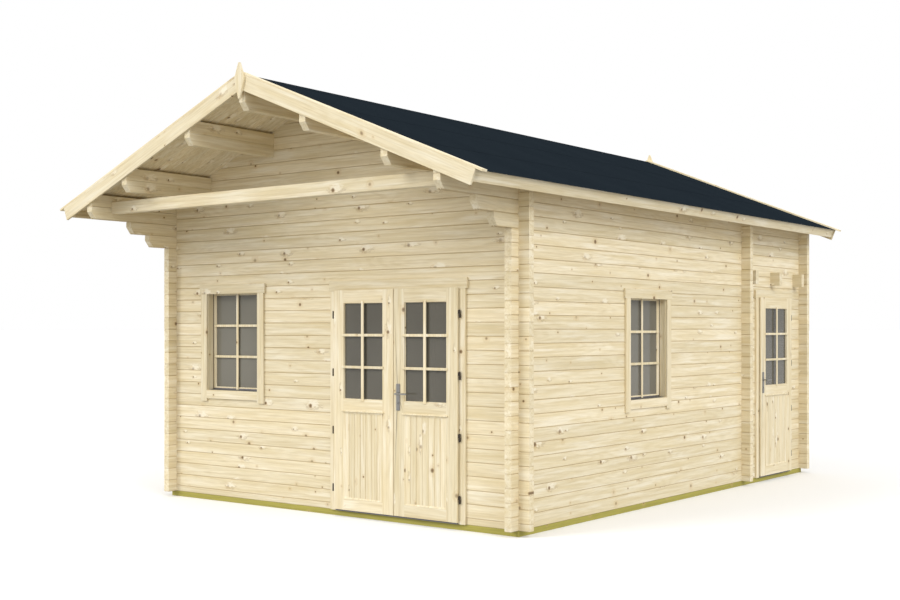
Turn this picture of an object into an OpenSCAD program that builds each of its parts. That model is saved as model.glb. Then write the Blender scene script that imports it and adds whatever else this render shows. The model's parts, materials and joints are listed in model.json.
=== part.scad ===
// Log cabin: notched log walls, purlin roof with a deep front overhang,
// one glazed double door, one glazed side door and two windows.
// Plan frame: X across the cabin from its middle, Y from the front wall's
// outer face to the rear, Z up from the ground. All sizes in millimetres.

/* [Walls] */
// Width over the side walls' outer faces
wall_w = 4200; // [3800:10:4800]
// Length over the front and rear walls' outer faces
wall_l = 5800; // [4800:10:6400]
// Height of one log
log_h = 115; // [110:1:120]
// Thickness of one log
log_t = 68; // [60:1:76]
// Length of the crossed log ends beyond the walls
log_end = 100; // [70:5:130]
// Bevel along the four long edges of a log
log_bevel = 5; // [2:0.5:8]
// Distance from the partition wall's front to the rear wall's outer face
partition_at = 1625; // [1600:5:2600]
// Number of log courses between the door openings and the wall plates
courses_over_doors = 6; // [5:1:8]
// Width of each of the two tongues along a log's top
tongue_w = 12; // [8:1:14]
// Height of the tongues
tongue_h = 8; // [5:0.5:12]
// Distance from a log's middle to the middle of a tongue
tongue_at = 13; // [10:0.5:18]
// Play round the tongues in their grooves
tongue_fit = 0.5; // [0.3:0.1:1]
// Gap left between stacked logs
log_gap = 0.3; // [0.2:0.1:1]
// Play on each side of a notch or pocket
notch_fit = 0.3; // [0.2:0.1:1]

/* [Base] */
// Height of the ground bearers
bearer_h = 50; // [40:1:80]
// Width of the ground bearers
bearer_w = 90; // [70:1:120]
// Width of the floor joists
joist_w = 45; // [35:1:70]
// Largest distance between floor joists
joist_spacing = 590; // [400:10:700]
// Thickness of the floor boards
floor_t = 26; // [18:1:35]
// Gap between the floor and the walls
floor_gap = 4; // [1:0.5:10]

/* [Roof] */
// Pitch of the roof in degrees
roof_pitch = 22; // [20:0.5:24]
// Distance from the front wall to the back of the front bargeboards
front_overhang = 1016; // [800:2:1200]
// Distance from the rear wall to the back of the rear bargeboards
rear_overhang = 195; // [150:5:300]
// Distance from the side walls to the eave ends of the roof boards
eave_overhang = 300; // [240:5:360]
// Thickness of the roof boards
board_t = 18; // [15:1:25]
// Thickness of the roofing sheet
roofing_t = 3; // [2:0.5:6]
// How far the roofing reaches past the fascia
roofing_drip = 24; // [10:1:40]
// Thickness of the bargeboards
barge_t = 20; // [15:1:28]
// Depth of the bargeboards
barge_h = 125; // [100:1:150]
// How far the bargeboards reach past the fascia
barge_reach = 9; // [2:1:30]
// Thickness of the cover strips on the roof edges
strip_t = 17; // [8:1:22]
// Width of the cover strips
strip_w = 62; // [45:1:90]
// How far the cover strips reach past the bargeboards
strip_reach = 62; // [20:1:90]
// Thickness of the eave fascias
fascia_t = 18; // [12:1:25]
// Depth of the eave fascias
fascia_h = 95; // [70:1:120]
// Width of the finials
finial_w = 112; // [90:1:130]
// Width of a finial's tip and foot
finial_tip = 13; // [8:1:20]
// Height of a finial's shoulders above its foot
finial_waist = 166; // [130:2:190]
// Height of the upright edges at a finial's shoulders
finial_shoulder = 26; // [10:1:40]
// Height of the finials
finial_h = 306; // [260:2:340]
// Thickness of the finials
finial_t = 20; // [14:1:28]
// Height of the finial tips above the ridge of the roof boards' underside
finial_rise = 113; // [90:1:130]

/* [Beams] */
// Height of the purlins
purlin_h = 218; // [170:1:230]
// Height of the ridge purlin
ridge_h = 266; // [220:1:270]
// Distance from the middle to the inner purlins
inner_purlin_at = 694; // [560:2:800]
// Distance from the middle to the outer purlins
outer_purlin_at = 1555; // [1400:5:1640]
// Reach of the upper corbel log in front of the wall
upper_corbel = 565; // [450:5:700]
// Reach of the lower corbel log in front of the wall
lower_corbel = 340; // [250:5:440]
// How far the sloping cut runs back under a beam's end
snipe_run = 48; // [30:1:80]
// Height of the sloping cut under a beam's end
snipe_rise = 64; // [40:1:100]
// Distance from the wall plates' front ends to the tie beam
tie_setback = 226; // [150:2:300]
// Height of the loft joists
loft_joist_h = 145; // [120:1:160]
// Distance from the partition's rear face to the first loft joist
first_loft_joist = 55; // [10:1:80]
// Distance between loft joists
loft_joist_step = 626; // [500:2:660]
// Height of the loft joists' undersides above the door openings
loft_joist_rise = 80; // [72:1:88]
// Length of the loft joists' ends beyond the side walls
loft_joist_end = 110; // [70:5:140]

/* [Front door] */
// Distance of the double door's middle from the cabin's middle
front_door_at = 828; // [790:2:900]
// Width over both leaves
front_leaves_w = 1382; // [1200:2:1420]
// Width of the meeting stiles
meeting_stile = 119; // [90:1:140]
// Width of the hinge stiles
hinge_stile = 117; // [90:1:140]

/* [Side door] */
// Distance from the side door's middle to the rear wall's outer face
side_door_at = 805; // [720:5:880]
// Width of the side door's leaf
side_leaf_w = 836; // [700:2:860]
// Width of the side door's stiles
side_stile = 126; // [90:1:140]

/* [Door leaves] */
// Thickness of a leaf
leaf_t = 44; // [40:1:54]
// Running gap round the leaves
leaf_gap = 6; // [5:0.5:8]
// Gap between the two meeting leaves
meeting_gap = 7; // [6:0.5:9]
// Height of the leaves
leaf_h = 1944; // [1600:2:2300]
// Thickness of the lip that laps over the frame
lip_t = 17; // [14:0.5:19]
// Width of the lip
lip_w = 14; // [12:0.5:18]
// Height of the bottom rail
bottom_rail = 101; // [80:1:130]
// Height of the boarded panel
panel_h = 767; // [600:2:800]
// Height of the middle rail
middle_rail = 115; // [90:1:130]
// Height of the top rail
top_rail = 117; // [90:1:130]
// Depth of the panel below the stiles on each face
panel_recess = 8; // [4:0.5:12]
// Thickness of the glass
glass_t = 6; // [4:0.5:10]
// Depth of the groove that holds the glass
glass_groove = 8; // [5:0.5:12]
// Play round the glass in its groove
glass_fit = 0.3; // [0.2:0.1:1]

/* [Door frames] */
// Width of the jambs
jamb_w = 50; // [40:1:60]
// Least height of the head
head_h = 40; // [30:1:60]
// How far the stop laps behind a leaf's edge
stop_lap = 12; // [8:1:20]
// Height of the threshold strip
threshold_h = 7; // [5:1:12]
// How far the threshold stands out of the wall
threshold_out = 30; // [15:1:36]
// Width of the door casings
door_casing_w = 71; // [60:1:90]
// Height of the head casings
head_casing_h = 90; // [70:1:100]
// How far a head casing reaches past the legs
head_casing_reach = 18; // [5:1:30]
// Thickness of the casings
casing_t = 20; // [14:1:26]

/* [Hinges and handles] */
// Radius of the hinge barrels
barrel_r = 7; // [6:0.5:7.5]
// Radius of the hinge pins
pin_r = 4; // [3:0.5:4.5]
// Play round the hinge pins
pin_fit = 0.1; // [0.05:0.01:0.1]
// Height of one half of a hinge
knuckle_h = 30; // [24:1:40]
// Distance from the leaf's edge to the hinge axis
hinge_out = 16; // [14:0.5:20]
// Distance of the hinge axis behind the leaf's face
hinge_back = 10; // [8:0.5:12]
// Thickness of the hinge arms
arm_t = 6; // [4:0.5:8]
// Height of the lowest hinge above the leaf's bottom
first_hinge = 190; // [120:5:240]
// Distance between hinges
hinge_step = 512; // [420:2:520]
// Height of the lever above the leaf's bottom
lever_rise = 1047; // [980:1:1080]
// Distance from the leaf's free edge to the lever's spindle
lever_inset = 54; // [52:1:60]
// Height of the handle plates
handle_plate_h = 228; // [180:2:260]
// Width of the handle plates
handle_plate_w = 40; // [30:1:50]
// Thickness of the handle plates
handle_plate_t = 6; // [4:0.5:9]
// Height of the spindle above the handle plate's middle
spindle_rise = 29; // [10:1:50]
// Radius of the spindle
spindle_r = 5; // [4:0.5:6]
// Play round the spindle
spindle_fit = 0.5; // [0.3:0.1:1]
// Radius of the lever grip
grip_r = 8; // [6:0.5:10]
// Length of the lever grip
grip_len = 118; // [90:1:140]
// Distance of the lever grip from the leaf
grip_out = 46; // [36:1:60]

/* [Windows] */
// Distance of the front window's middle from the cabin's middle, to the left
front_window_at = 1216; // [1150:2:1300]
// Distance from the front wall's face to the side window's middle
side_window_at = 2124; // [1900:2:2400]
// Width of the hole in the logs
window_hole_w = 760; // [640:2:800]
// Number of log courses in the hole
window_courses = 9; // [7:1:9]
// First course of the hole, counted from the bottom
window_first_course = 8; // [8:1:10]
// Width of the window frame's members
window_frame_w = 36; // [34:1:45]
// Depth of the window frame
window_frame_depth = 92; // [84:1:110]
// Width of the sash members
sash_w = 34; // [26:1:45]
// Thickness of the sash
sash_t = 28; // [22:1:36]
// Width of the window casings
window_casing_w = 82; // [60:1:95]
// How far the casing legs lap over the hole
casing_side_lap = 30; // [20:1:33]
// How far the sill casing laps over the hole
casing_sill_lap = 44; // [30:1:50]
// How far the head casing laps over the hole
casing_head_lap = 62; // [40:1:70]
// How far the casing legs reach below the sill casing
casing_leg_drop = 27; // [10:1:40]

/* [Hidden] */

$fn = 32;
// Overlap of a cutting shape past the face that it cuts
over = 1;
// Gap between pieces that are screwed or nailed face to face
seat = 0.2;

spruce = [0.90, 0.83, 0.66];
treated = [0.62, 0.60, 0.30];
felt = [0.15, 0.17, 0.20];
steel = [0.55, 0.55, 0.55];
dark_steel = [0.20, 0.16, 0.12];
pane = [0.45, 0.44, 0.40, 0.6];

half_w = wall_w / 2;
quarter = log_h / 4;
partition_y = wall_l - partition_at;
side_door_y = wall_l - side_door_at;
cross_walls = [0, partition_y, wall_l - log_t];
side_walls = [-half_w, half_w - log_t];

// The casings lie on the logs, and the leaves' lips lie in front of the casings
leaf_face = -(seat + casing_t + leaf_gap + lip_t);
threshold_top = bearer_h + threshold_h;
leaf_z = threshold_top + leaf_gap;
leaf_top = leaf_z + leaf_h;
frame_head = leaf_top - lip_w + leaf_gap;

// Cross logs lie half a log higher than the side logs, and both count courses from 0
door_courses = ceil((frame_head + head_h - bearer_h) / log_h - 1 / 2);
door_hole_top = bearer_h + (door_courses + 1 / 2) * log_h;
// The wall plates are the top two courses of the side walls, and the corbels the two below
plate_course = door_courses + courses_over_doors;
corbel_course = plate_course - 2;
gable_course = plate_course;
plate_top = bearer_h + (plate_course + 2) * log_h;

apex_z = plate_top + half_w * tan(roof_pitch);
boards_end = (half_w + eave_overhang) / cos(roof_pitch);
fascia_end = boards_end + seat + fascia_t;
barge_end = fascia_end + barge_reach;
strip_end = barge_end + strip_reach;
roofing_end = fascia_end + roofing_drip;
roofing_low = board_t + seat;
roof_top = roofing_low + roofing_t;
strip_low = roof_top + seat;
roof_front = -front_overhang;
roof_rear = wall_l + rear_overhang;
ridge_gap = 0.4;

front_extreme = roof_front - seat - barge_t - seat - finial_t;
rear_extreme = roof_rear + seat + barge_t + seat + finial_t;
mid_y = (front_extreme + rear_extreme) / 2;

purlin_places = [-outer_purlin_at, -inner_purlin_at, inner_purlin_at, outer_purlin_at];
tie_y = roof_front + tie_setback;
loft_joist_y = partition_y + log_t + first_loft_joist;
loft_joist_z = door_hole_top + loft_joist_rise;
loft_joist_count = 1 + floor((partition_at - first_loft_joist - 3 * log_t) / loft_joist_step);

panel_z = leaf_z + bottom_rail;
glass_z = panel_z + panel_h + middle_rail;
glass_top = leaf_top - top_rail;
floor_top = bearer_h + floor_t;
stop_y = leaf_face + leaf_t + leaf_gap;
jamb_out = leaf_gap - lip_w + jamb_w + seat;
front_leaf_w = (front_leaves_w - meeting_gap) / 2;
front_hole_half = front_leaves_w / 2 + jamb_out;
side_hole_half = side_leaf_w / 2 + jamb_out;
hinge_count = 1 + floor((leaf_h - 2 * first_hinge) / hinge_step);
lever_z = leaf_z + lever_rise;
handle_plate_z = lever_z - spindle_rise;

window_hole_h = window_courses * log_h;
front_window_z = bearer_h + (window_first_course + 1 / 2) * log_h;
side_window_z = bearer_h + window_first_course * log_h;
sash_y = window_frame_depth - sash_t;
// Window holes as [low edge, high edge, first course, courses] along their wall
front_window_hole = [-front_window_at - window_hole_w / 2, -front_window_at + window_hole_w / 2,
    window_first_course, window_courses];
side_window_hole = [side_window_at - window_hole_w / 2, side_window_at + window_hole_w / 2,
    window_first_course, window_courses];

// Moves the plan frame so that the part stands centred on its origin
module placed() {
    translate([0, -mid_y, 0]) children();
}

// Both sides of what is drawn on the right
module both_sides() {
    children();
    mirror([1, 0, 0]) children();
}

// Puts a front-facing shape into the right side wall at a distance from the front
module in_side_wall(y) {
    translate([half_w, y, 0]) rotate([0, 0, 90]) children();
}

// Logs and beams

// Edges of the two tongues across a log, or of their grooves with play
function tongue_edges(play) =
    [for (m = [-1, 1]) for (e = [-1, 1]) log_t / 2 + m * tongue_at + e * (tongue_w / 2 + play)];

// Points that step up at one edge and down at the next
function stepped(edges, low, high) =
    [for (i = [0:len(edges) - 1]) for (z = i % 2 == 0 ? [low, high] : [high, low]) [edges[i], z]];
function reversed(list) = [for (i = [len(list) - 1:-1:0]) list[i]];

module log_section(h, grooved, tongued) {
    b = log_bevel;
    grooves = grooved ? stepped(tongue_edges(tongue_fit), 0, tongue_h + tongue_fit) : [];
    tongues = tongued ? stepped(reversed(tongue_edges(0)), h, h + tongue_h) : [];
    polygon(concat([[b, 0]], grooves, [[log_t - b, 0], [log_t, b], [log_t, h - b], [log_t - b, h]],
        tongues, [[b, h], [0, h - b], [0, b]]));
}

module log_along_x(x0, x1, y, z, h, grooved = true, tongued = true) {
    translate([x0, y, z]) rotate([90, 0, 90]) linear_extrude(x1 - x0) log_section(h, grooved, tongued);
}

module log_along_y(y0, y1, x, z, h, grooved = true, tongued = true) {
    translate([x, y1, z]) rotate([90, 0, 0]) linear_extrude(y1 - y0) log_section(h, grooved, tongued);
}

// Cross course -1 is the half log at the bottom
function cross_z(k) = k < 0 ? bearer_h : bearer_h + (k + 1 / 2) * log_h;
function cross_h(k) = (k < 0 ? log_h / 2 : log_h) - log_gap;
function side_z(k) = bearer_h + k * log_h;
side_h = log_h - log_gap;

// Half-lap notches in a log along X where the side walls cross it
module cross_notches(x0, x1, y, z, h, low) {
    w = log_t + 2 * notch_fit;
    for (x = side_walls)
        if (x0 < x && x + log_t < x1) {
            translate([x - notch_fit, y - over, z + h - quarter])
                cube([w, log_t + 2 * over, quarter + tongue_h + over]);
            if (low)
                translate([x - notch_fit, y - over, z - over])
                    cube([w, log_t + 2 * over, quarter + over]);
        }
}

module cross_log(k, x0, x1, y, tongued = true) {
    z = cross_z(k);
    h = cross_h(k);
    difference() {
        log_along_x(x0, x1, y, z, h, k >= 0, tongued);
        cross_notches(x0, x1, y, z, h, k >= 0);
    }
}

function in_hole(k, hole) = hole != undef && k >= hole[2] && k < hole[2] + hole[3];
function under_hole(k, hole) = hole != undef && k == hole[2] - 1;

// Cross courses from one to another, cut by a hole, whose sill has no tongues
module cross_courses(first, last, x0, x1, y, hole = undef) {
    for (k = [first:last])
        if (in_hole(k, hole)) {
            cross_log(k, x0, hole[0], y);
            cross_log(k, hole[1], x1, y);
        } else {
            difference() {
                cross_log(k, x0, x1, y);
                if (under_hole(k, hole))
                    translate([hole[0], y - over, cross_z(k) + cross_h(k)])
                        cube([hole[1] - hole[0], log_t + 2 * over, tongue_h + over]);
            }
        }
}

// Half-lap notches in a log along Y where the cross walls cross it
module side_notches(y0, y1, x, z) {
    w = log_t + 2 * notch_fit;
    for (y = cross_walls)
        if (y0 < y && y + log_t < y1) {
            translate([x - over, y - notch_fit, z + side_h - quarter])
                cube([log_t + 2 * over, w, quarter + tongue_h + over]);
            translate([x - over, y - notch_fit, z - over])
                cube([log_t + 2 * over, w, quarter + over]);
        }
}

module loft_joist_pockets(x) {
    for (i = [0:loft_joist_count - 1])
        translate([x - over, loft_joist_y + i * loft_joist_step - notch_fit, loft_joist_z - notch_fit])
            cube([log_t + 2 * over, log_t + 2 * notch_fit, loft_joist_h + 2 * notch_fit]);
}

// Sloping cut under the front end of a beam along Y
module snipe(x, y, z) {
    translate([x - over, y, z]) rotate([90, 0, 90]) linear_extrude(log_t + 2 * over)
        polygon([[-over, -over], [snipe_run, -over], [snipe_run, 0], [0, snipe_rise], [-over, snipe_rise]]);
}

module side_log(k, y0, y1, x, tongued = true) {
    z = side_z(k);
    meets_joists = z + log_h + tongue_h > loft_joist_z && z < loft_joist_z + loft_joist_h;
    difference() {
        log_along_y(y0, y1, x, z, side_h, k > 0, tongued);
        side_notches(y0, y1, x, z);
        if (meets_joists && y1 > wall_l)
            loft_joist_pockets(x);
    }
}

// The two top courses under the plates step out to carry them
module corbel_logs(x) {
    reach = [lower_corbel, upper_corbel];
    for (i = [0, 1])
        difference() {
            side_log(corbel_course + i, -reach[i], wall_l + log_end, x);
            snipe(x, -reach[i], side_z(corbel_course + i));
        }
}

module side_courses(first, last, y0, y1, x, hole = undef) {
    for (k = [first:last])
        if (in_hole(k, hole)) {
            side_log(k, y0, hole[0], x);
            side_log(k, hole[1], y1, x);
        } else {
            difference() {
                side_log(k, y0, y1, x);
                if (under_hole(k, hole))
                    translate([x - over, hole[0], side_z(k) + side_h])
                        cube([log_t + 2 * over, hole[1] - hole[0], tongue_h + over]);
            }
        }
}

// Roof geometry: distance s down the slope from the apex, height n off the boards' underside

function slope_point(s, n) =
    [s * cos(roof_pitch) + n * sin(roof_pitch), apex_z - s * sin(roof_pitch) + n * cos(roof_pitch)];
function ridge_start(n) = (ridge_gap / 2 - n * sin(roof_pitch)) / cos(roof_pitch);
function underside_z(x) = apex_z - abs(x) * tan(roof_pitch);

// A layer of the right slope, cut plumb at the ridge and square at the eave
module slope_layer(n0, n1, s_end, y0, y1) {
    translate([0, y1, 0]) rotate([90, 0, 0]) linear_extrude(y1 - y0)
        polygon([slope_point(ridge_start(n0), n0), slope_point(s_end, n0),
            slope_point(s_end, n1), slope_point(ridge_start(n1), n1)]);
}

// The space under the roof boards between two cross planes
module under_roof(y0, y1) {
    reach = half_w + eave_overhang;
    drop = seat / cos(roof_pitch);
    translate([0, y1, 0]) rotate([90, 0, 0]) linear_extrude(y1 - y0)
        polygon([[0, apex_z - drop], [reach, underside_z(reach) - drop], [reach, 0],
            [-reach, 0], [-reach, underside_z(reach) - drop]]);
}

// Top of a beam along Y under the roof, with its lower edge against the boards
function beam_top(x) = underside_z(abs(x) + log_t / 2) - seat / cos(roof_pitch);

// The room that a beam takes up in a gable
module beam_pocket(x, h) {
    translate([x - log_t / 2 - notch_fit, roof_front, beam_top(x) - h - notch_fit])
        cube([log_t + 2 * notch_fit, roof_rear - roof_front, h + 2 * notch_fit + over]);
}

// Two logs of equal height, one on the other
module roof_beam(x, h) {
    low = beam_top(x) - h;
    left = x - log_t / 2;
    difference() {
        log_along_y(roof_front, roof_rear, left, low, h / 2 - log_gap, false, true);
        snipe(left, roof_front, low);
    }
    log_along_y(roof_front, roof_rear, left, low + h / 2, h / 2, true, false);
}

module gable_logs(y) {
    last = floor((apex_z - cross_z(0)) / log_h);
    for (k = [gable_course:last])
        difference() {
            intersection() {
                cross_log(k, -half_w - log_end, half_w + log_end, y);
                under_roof(y - over, y + log_t + over);
            }
            for (x = purlin_places)
                beam_pocket(x, purlin_h);
            beam_pocket(0, ridge_h);
        }
}

// Doors, drawn facing the front with their middle at x = 0

module door_frame(half, jamb_top) {
    inner = half - seat - jamb_w;
    stop_in = inner - leaf_gap - stop_lap;
    both_sides()
        translate([0, 0, bearer_h]) linear_extrude(frame_head - bearer_h - seat)
            polygon([[inner, 0], [half - seat, 0], [half - seat, log_t], [stop_in, log_t],
                [stop_in, stop_y], [inner, stop_y]]);
    translate([-half + seat, 0, 0]) rotate([90, 0, 90]) linear_extrude(2 * (half - seat))
        polygon([[0, frame_head], [log_t, frame_head], [log_t, jamb_top - seat], [0, jamb_top - seat]]);
    stop_low = leaf_top - lip_w - stop_lap;
    translate([-stop_in + seat, stop_y, stop_low])
        cube([2 * (stop_in - seat), log_t - stop_y, frame_head - stop_low - seat]);
}

module door_casing(half) {
    inner = half - seat - jamb_w;
    leg_top = frame_head - seat;
    both_sides()
        translate([inner, -seat - casing_t, bearer_h])
            cube([door_casing_w, casing_t, leg_top - bearer_h]);
    reach = inner + door_casing_w + head_casing_reach;
    translate([-reach, -seat - casing_t, frame_head])
        cube([2 * reach, casing_t, head_casing_h]);
}

module door_threshold(half) {
    inner = half - seat - jamb_w - seat;
    stop_in = inner - leaf_gap - stop_lap;
    translate([-inner, -threshold_out, bearer_h])
        cube([2 * inner, threshold_out + stop_y, threshold_h]);
    translate([-stop_in, stop_y - over, bearer_h])
        cube([2 * stop_in, log_t - stop_y + over, floor_t]);
}

// A leaf from its hinge edge at x = 0 to its free edge, with its face at y = 0 and
// a lip along the top, the hinge edge and, where it meets a jamb, the free edge
module door_leaf(w, near_stile, far_stile, far_lip, bore_x = undef) {
    open_w = w - near_stile - far_stile;
    groove_t = glass_t + 2 * glass_fit;
    difference() {
        union() {
            translate([0, 0, leaf_z]) cube([w, lip_t, leaf_h]);
            translate([lip_w, 0, leaf_z]) cube([w - lip_w - far_lip, leaf_t, leaf_h - lip_w]);
        }
        translate([near_stile, -over, glass_z])
            cube([open_w, leaf_t + 2 * over, glass_top - glass_z]);
        translate([near_stile - glass_groove, (leaf_t - groove_t) / 2, glass_z - glass_groove])
            cube([open_w + 2 * glass_groove, groove_t, glass_top - glass_z + 2 * glass_groove]);
        for (y = [-over, leaf_t - panel_recess])
            translate([near_stile, y, panel_z])
                cube([open_w, panel_recess + over, panel_h]);
        if (bore_x != undef)
            translate([bore_x, -over, lever_z]) rotate([-90, 0, 0])
                cylinder(r = spindle_r + spindle_fit, h = leaf_t + 2 * over);
    }
}

module leaf_glass(w, near_stile, far_stile) {
    lap = glass_groove - glass_fit;
    translate([near_stile - lap, (leaf_t - glass_t) / 2, glass_z - lap])
        cube([w - near_stile - far_stile + 2 * lap, glass_t, glass_top - glass_z + 2 * lap]);
}

function hinge_z(i) = leaf_z + first_hinge + i * hinge_step;

// Upper half of each hinge, whose arm meets the edge of the lip at x = 0
module leaf_hinge_halves() {
    for (i = [0:hinge_count - 1])
        translate([-hinge_out, hinge_back, hinge_z(i) + pin_fit])
            difference() {
                union() {
                    cylinder(r = barrel_r, h = knuckle_h);
                    translate([0, -arm_t / 2, 0])
                        cube([hinge_out - seat, arm_t, knuckle_h]);
                }
                translate([0, 0, -over])
                    cylinder(r = pin_r + pin_fit, h = knuckle_h + 2 * over);
            }
}

// Lower half of each hinge with its pin, whose arm meets the casing
module frame_hinge_halves() {
    arm = lip_t + leaf_gap - hinge_back - seat;
    for (i = [0:hinge_count - 1])
        translate([-hinge_out, hinge_back, hinge_z(i) - knuckle_h]) {
            cylinder(r = barrel_r, h = knuckle_h);
            cylinder(r = pin_r, h = 2 * knuckle_h - pin_r);
            translate([-arm_t / 2, 0, 0])
                cube([arm_t, arm, knuckle_h]);
        }
}

// Plates on both faces of a leaf, with the spindle at x = 0
module handle_plates() {
    for (y = [-seat - handle_plate_t, leaf_t + seat])
        difference() {
            translate([-handle_plate_w / 2, y, handle_plate_z - handle_plate_h / 2])
                cube([handle_plate_w, handle_plate_t, handle_plate_h]);
            translate([0, y - over, lever_z]) rotate([-90, 0, 0])
                cylinder(r = spindle_r + spindle_fit, h = handle_plate_t + 2 * over);
        }
}

// Spindle with a lever on each face, both pointing along +X
module lever_set() {
    translate([0, -grip_out, lever_z]) rotate([-90, 0, 0])
        cylinder(r = spindle_r, h = leaf_t + 2 * grip_out);
    for (y = [-grip_out, leaf_t + grip_out])
        translate([0, y, lever_z]) {
            sphere(r = grip_r);
            rotate([0, 90, 0]) cylinder(r = grip_r, h = grip_len);
            translate([grip_len, 0, 0]) sphere(r = grip_r);
        }
}

// Windows, drawn facing the front with their middle at x = 0 and the hole's sill at z

module ring(w, h, border, depth) {
    rotate([90, 0, 0]) translate([0, 0, -depth]) linear_extrude(depth)
        difference() {
            translate([-w / 2, 0]) square([w, h]);
            translate([-w / 2 + border, border]) square([w - 2 * border, h - 2 * border]);
        }
}

frame_out_w = window_hole_w - 2 * seat;
frame_out_h = window_hole_h - 2 * seat - log_gap;
sash_out_w = frame_out_w - 2 * window_frame_w - 2 * seat;
sash_out_h = frame_out_h - 2 * window_frame_w - 2 * seat;

module window_frame(z) {
    translate([0, 0, z + seat]) ring(frame_out_w, frame_out_h, window_frame_w, window_frame_depth);
}

module window_sash(z) {
    groove_w = sash_out_w - 2 * sash_w + 2 * glass_groove;
    groove_h = sash_out_h - 2 * sash_w + 2 * glass_groove;
    groove_t = glass_t + 2 * glass_fit;
    translate([0, sash_y, z + 2 * seat + window_frame_w])
        difference() {
            ring(sash_out_w, sash_out_h, sash_w, sash_t);
            translate([-groove_w / 2, (sash_t - groove_t) / 2, sash_w - glass_groove])
                cube([groove_w, groove_t, groove_h]);
        }
}

module window_pane(z) {
    lap = glass_groove - glass_fit;
    w = sash_out_w - 2 * sash_w + 2 * lap;
    h = sash_out_h - 2 * sash_w + 2 * lap;
    translate([-w / 2, sash_y + (sash_t - glass_t) / 2, z + 2 * seat + window_frame_w + sash_w - lap])
        cube([w, glass_t, h]);
}

module window_casing(z) {
    inner = window_hole_w / 2 - casing_side_lap;
    sill_top = z + casing_sill_lap;
    head_low = z + window_hole_h - casing_head_lap;
    leg_low = sill_top - window_casing_w - casing_leg_drop;
    reach = inner + window_casing_w + head_casing_reach;
    translate([0, -seat - casing_t, 0]) {
        both_sides()
            translate([inner, 0, leg_low])
                cube([window_casing_w, casing_t, head_low - seat - leg_low]);
        translate([-inner + seat, 0, sill_top - window_casing_w])
            cube([2 * (inner - seat), casing_t, window_casing_w]);
        translate([-reach, 0, head_low])
            cube([2 * reach, casing_t, head_casing_h]);
    }
}

module at_both_windows() {
    translate([-front_window_at, 0, front_window_z]) children();
    in_side_wall(side_window_at) translate([0, 0, side_window_z]) children();
}

// Base

module foundation_bearers() {
    h = bearer_h - seat;
    color(treated) placed() {
        for (x = [-half_w, half_w - bearer_w])
            translate([x, 0, 0]) cube([bearer_w, wall_l, h]);
        for (y = [0, partition_y - (bearer_w - log_t) / 2, wall_l - bearer_w])
            translate([-half_w + bearer_w + seat, y, 0])
                cube([wall_w - 2 * bearer_w - 2 * seat, bearer_w, h]);
    }
}

module joists_between(y0, y1) {
    count = ceil((y1 - y0) / joist_spacing);
    for (i = [1:count - 1])
        translate([-half_w + bearer_w + seat, y0 + i * (y1 - y0) / count - joist_w / 2, 0])
            cube([wall_w - 2 * bearer_w - 2 * seat, joist_w, bearer_h - seat]);
}

module floor_joists() {
    color(treated) placed() {
        joists_between(bearer_w, partition_y);
        joists_between(partition_y + bearer_w, wall_l - bearer_w);
    }
}

module floor_between(y0, y1) {
    w = wall_w - 2 * log_t - 2 * floor_gap;
    translate([-w / 2, y0 + floor_gap, bearer_h])
        cube([w, y1 - y0 - 2 * floor_gap, floor_t]);
}

module floor_boards() {
    color(spruce) placed() {
        floor_between(log_t, partition_y);
        floor_between(partition_y + log_t, wall_l - log_t);
    }
}

// Walls

module front_wall_left() {
    x1 = front_door_at - front_hole_half;
    color(spruce) placed()
        cross_courses(-1, door_courses - 1, -half_w - log_end, x1, 0, front_window_hole);
}

module front_wall_right() {
    color(spruce) placed()
        cross_courses(-1, door_courses - 1, front_door_at + front_hole_half, half_w + log_end, 0);
}

module front_wall_over_door() {
    reach = half_w + log_end;
    color(spruce) placed()
        cross_courses(door_courses, gable_course - 1, -reach, reach, 0, front_window_hole);
}

module front_gable() {
    color(spruce) placed() gable_logs(0);
}

module left_wall() {
    color(spruce) placed() {
        side_courses(0, corbel_course - 1, -log_end, wall_l + log_end, -half_w);
        corbel_logs(-half_w);
    }
}

module right_wall_front() {
    y1 = side_door_y - side_hole_half;
    color(spruce) placed()
        side_courses(0, door_courses - 1, -log_end, y1, half_w - log_t, side_window_hole);
}

module right_wall_rear() {
    color(spruce) placed()
        side_courses(0, door_courses - 1, side_door_y + side_hole_half, wall_l + log_end, half_w - log_t);
}

module right_wall_over_door() {
    x = half_w - log_t;
    color(spruce) placed() {
        difference() {
            side_courses(door_courses, corbel_course - 1, -log_end, wall_l + log_end, x, side_window_hole);
            translate([x - over, side_door_y - side_hole_half, side_z(door_courses) - over])
                cube([log_t + 2 * over, 2 * side_hole_half, door_hole_top - side_z(door_courses) + over]);
        }
        corbel_logs(x);
    }
}

module rear_wall() {
    color(spruce) placed()
        cross_courses(-1, gable_course - 1, -half_w - log_end, half_w + log_end, wall_l - log_t);
}

module rear_gable() {
    color(spruce) placed() gable_logs(wall_l - log_t);
}

module partition_wall() {
    reach = half_w + log_end;
    color(spruce) placed() {
        cross_courses(-1, gable_course - 1, -reach, reach, partition_y);
        cross_log(gable_course, -reach, reach, partition_y, false);
    }
}

// Roof timbers

module wall_plates() {
    color(spruce) placed()
        for (x = side_walls)
            for (k = [plate_course, plate_course + 1])
                difference() {
                    side_log(k, roof_front, roof_rear, x, k == plate_course);
                    if (k == plate_course)
                        snipe(x, roof_front, side_z(k));
                    tie_beam_pocket(x, k);
                }
}

// Seat for the tie beam's end in the inner face of a plate log
module tie_beam_pocket(x, k) {
    depth = log_t / 2;
    inward = x < 0 ? x + depth : x - over;
    translate([inward, tie_y - notch_fit, cross_z(gable_course) - notch_fit])
        cube([depth + over, log_t + 2 * notch_fit, log_h + 2 * notch_fit]);
}

module ridge_purlin() {
    color(spruce) placed() roof_beam(0, ridge_h);
}

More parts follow.
